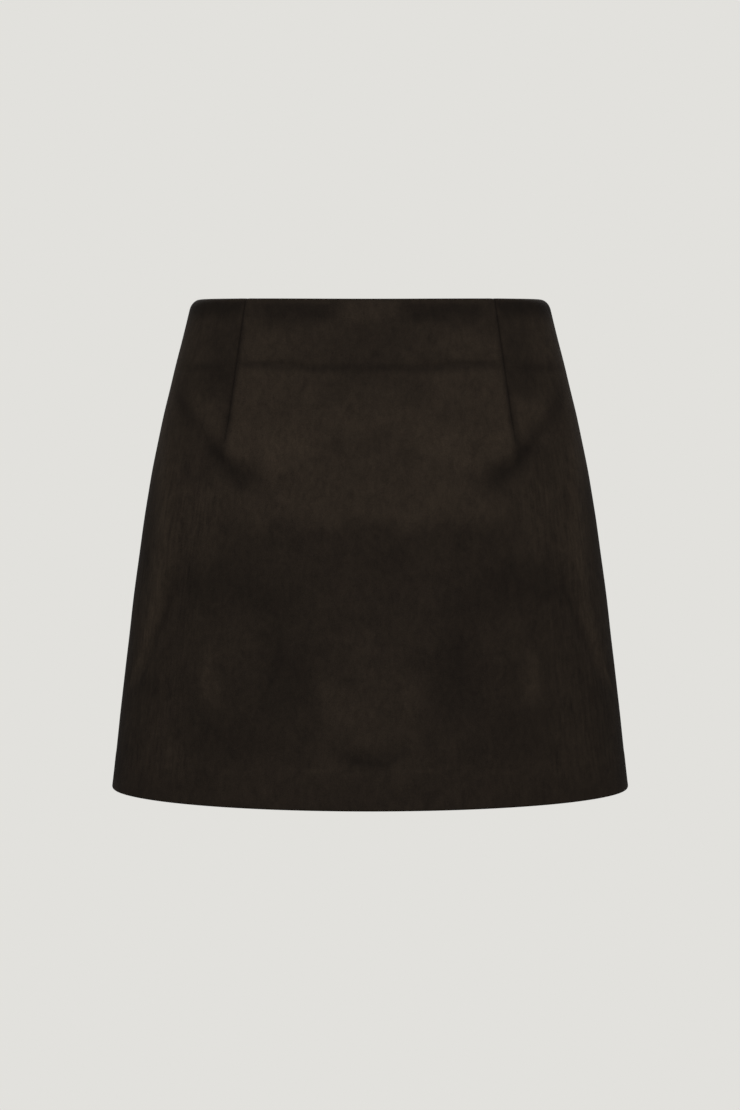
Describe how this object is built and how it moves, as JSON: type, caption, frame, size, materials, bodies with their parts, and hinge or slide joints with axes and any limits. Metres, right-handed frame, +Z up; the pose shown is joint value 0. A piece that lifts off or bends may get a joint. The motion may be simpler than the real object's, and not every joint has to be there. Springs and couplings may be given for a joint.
{
  "type": "suede skort",
  "caption": "A-line suede mini skort in its worn, hollow form: darted skirt over sewn-in shorts, with a concealed back zip and a pull tab that swings.",
  "frame": {"origin": "middle of the waist opening, level with the tops of the side seams", "axes": "+Z up out of the waist opening, the skort's front faces -Y, +X is the wearer's left"},
  "size_m": [0.391, 0.27, 0.3671],
  "materials": {
    "suede": "napped suede",
    "shorts_cloth": "smooth knit",
    "zip_tape": "woven tape",
    "zip_enamel": "satin enamel"
  },
  "bodies": {
    "skort": {"skirt_front": "suede", "skirt_back_left": "suede", "skirt_back_right": "suede", "shorts_front_left": "shorts_cloth", "shorts_front_right": "shorts_cloth", "shorts_back_left": "shorts_cloth", "shorts_back_right": "shorts_cloth", "zip_tape_left": "zip_tape", "zip_tape_right": "zip_tape", "zip_stop": "zip_enamel", "zip_slider": "zip_enamel"},
    "pull_tab": {"zip_pull": "zip_enamel"}
  },
  "joints": [
    {"name": "pull_swing", "type": "hinge", "parent": "skort", "child": "pull_tab", "pos_m": [0, 0.09102, -0.00937], "axis": [1, 0, 0], "range_deg": [0, 165]}
  ]
}
